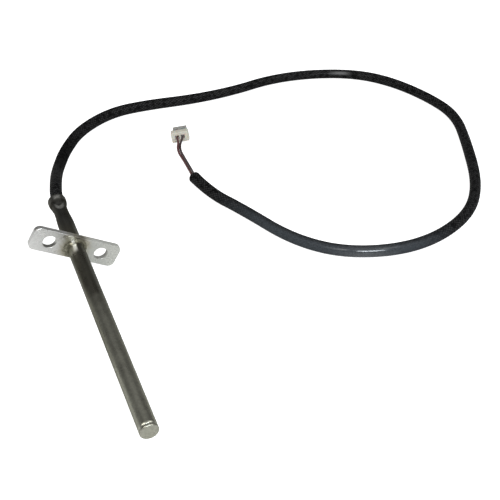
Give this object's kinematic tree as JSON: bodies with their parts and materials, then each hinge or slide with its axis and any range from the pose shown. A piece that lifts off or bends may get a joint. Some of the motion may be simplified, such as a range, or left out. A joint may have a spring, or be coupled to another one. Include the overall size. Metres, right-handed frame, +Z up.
{
  "type": "flame sensor probe",
  "caption": "Straight metal sheathed probe with a small screw-on flange, crimped on to a sleeved lead that lies in a wide loop and ends in a small wire connector.",
  "frame": {"origin": "centre of the flange, in the middle of its thickness and on the axis of the sheath", "axes": "+Z up from the surface it lies on, +Y towards the lead along the sheath (which dips 5.35 degrees towards its tip at -Y), +X towards the loop of the lead"},
  "size_m": [0.2096, 0.2176, 0.0226],
  "materials": {
    "sheath_steel": "drawn stainless, darkened by heat",
    "flange_steel": "brushed stainless with heat tint round the braze",
    "braze": "silver braze, dull",
    "sleeving": "black braided glass-fibre sleeving, varnished",
    "liner_fibre": "natural glass-fibre sleeving",
    "wire_red": "dark red-brown insulation",
    "wire_black": "black-brown insulation",
    "copper": "bare stranded copper",
    "tinned_copper": "tin plated",
    "platinum": "fine platinum",
    "alumina": "fired ceramic",
    "glaze": "fired glass layer",
    "potting": "ceramic cement",
    "connector_plastic": "natural moulded plastic, slightly yellowed"
  },
  "bodies": {
    "root": {"sheath_tube": "sheath_steel", "tip_plug": "sheath_steel", "mounting_flange": "flange_steel", "flange_braze": "braze", "cable_sleeve": "sleeving", "liner_sleeve": "liner_fibre", "insulation_red": "wire_red", "insulation_black": "wire_black", "conductor_red": "copper", "conductor_black": "copper", "splice_barrel_a": "tinned_copper", "splice_barrel_b": "tinned_copper", "splice_sleeve_a": "liner_fibre", "splice_sleeve_b": "liner_fibre", "rtd_lead_a": "platinum", "rtd_lead_b": "platinum", "platinum_track": "platinum", "rtd_substrate": "alumina", "rtd_glaze": "glaze", "tip_cement": "potting", "connector_housing": "connector_plastic", "contact_red": "tinned_copper", "contact_black": "tinned_copper"}
  },
  "joints": []
}
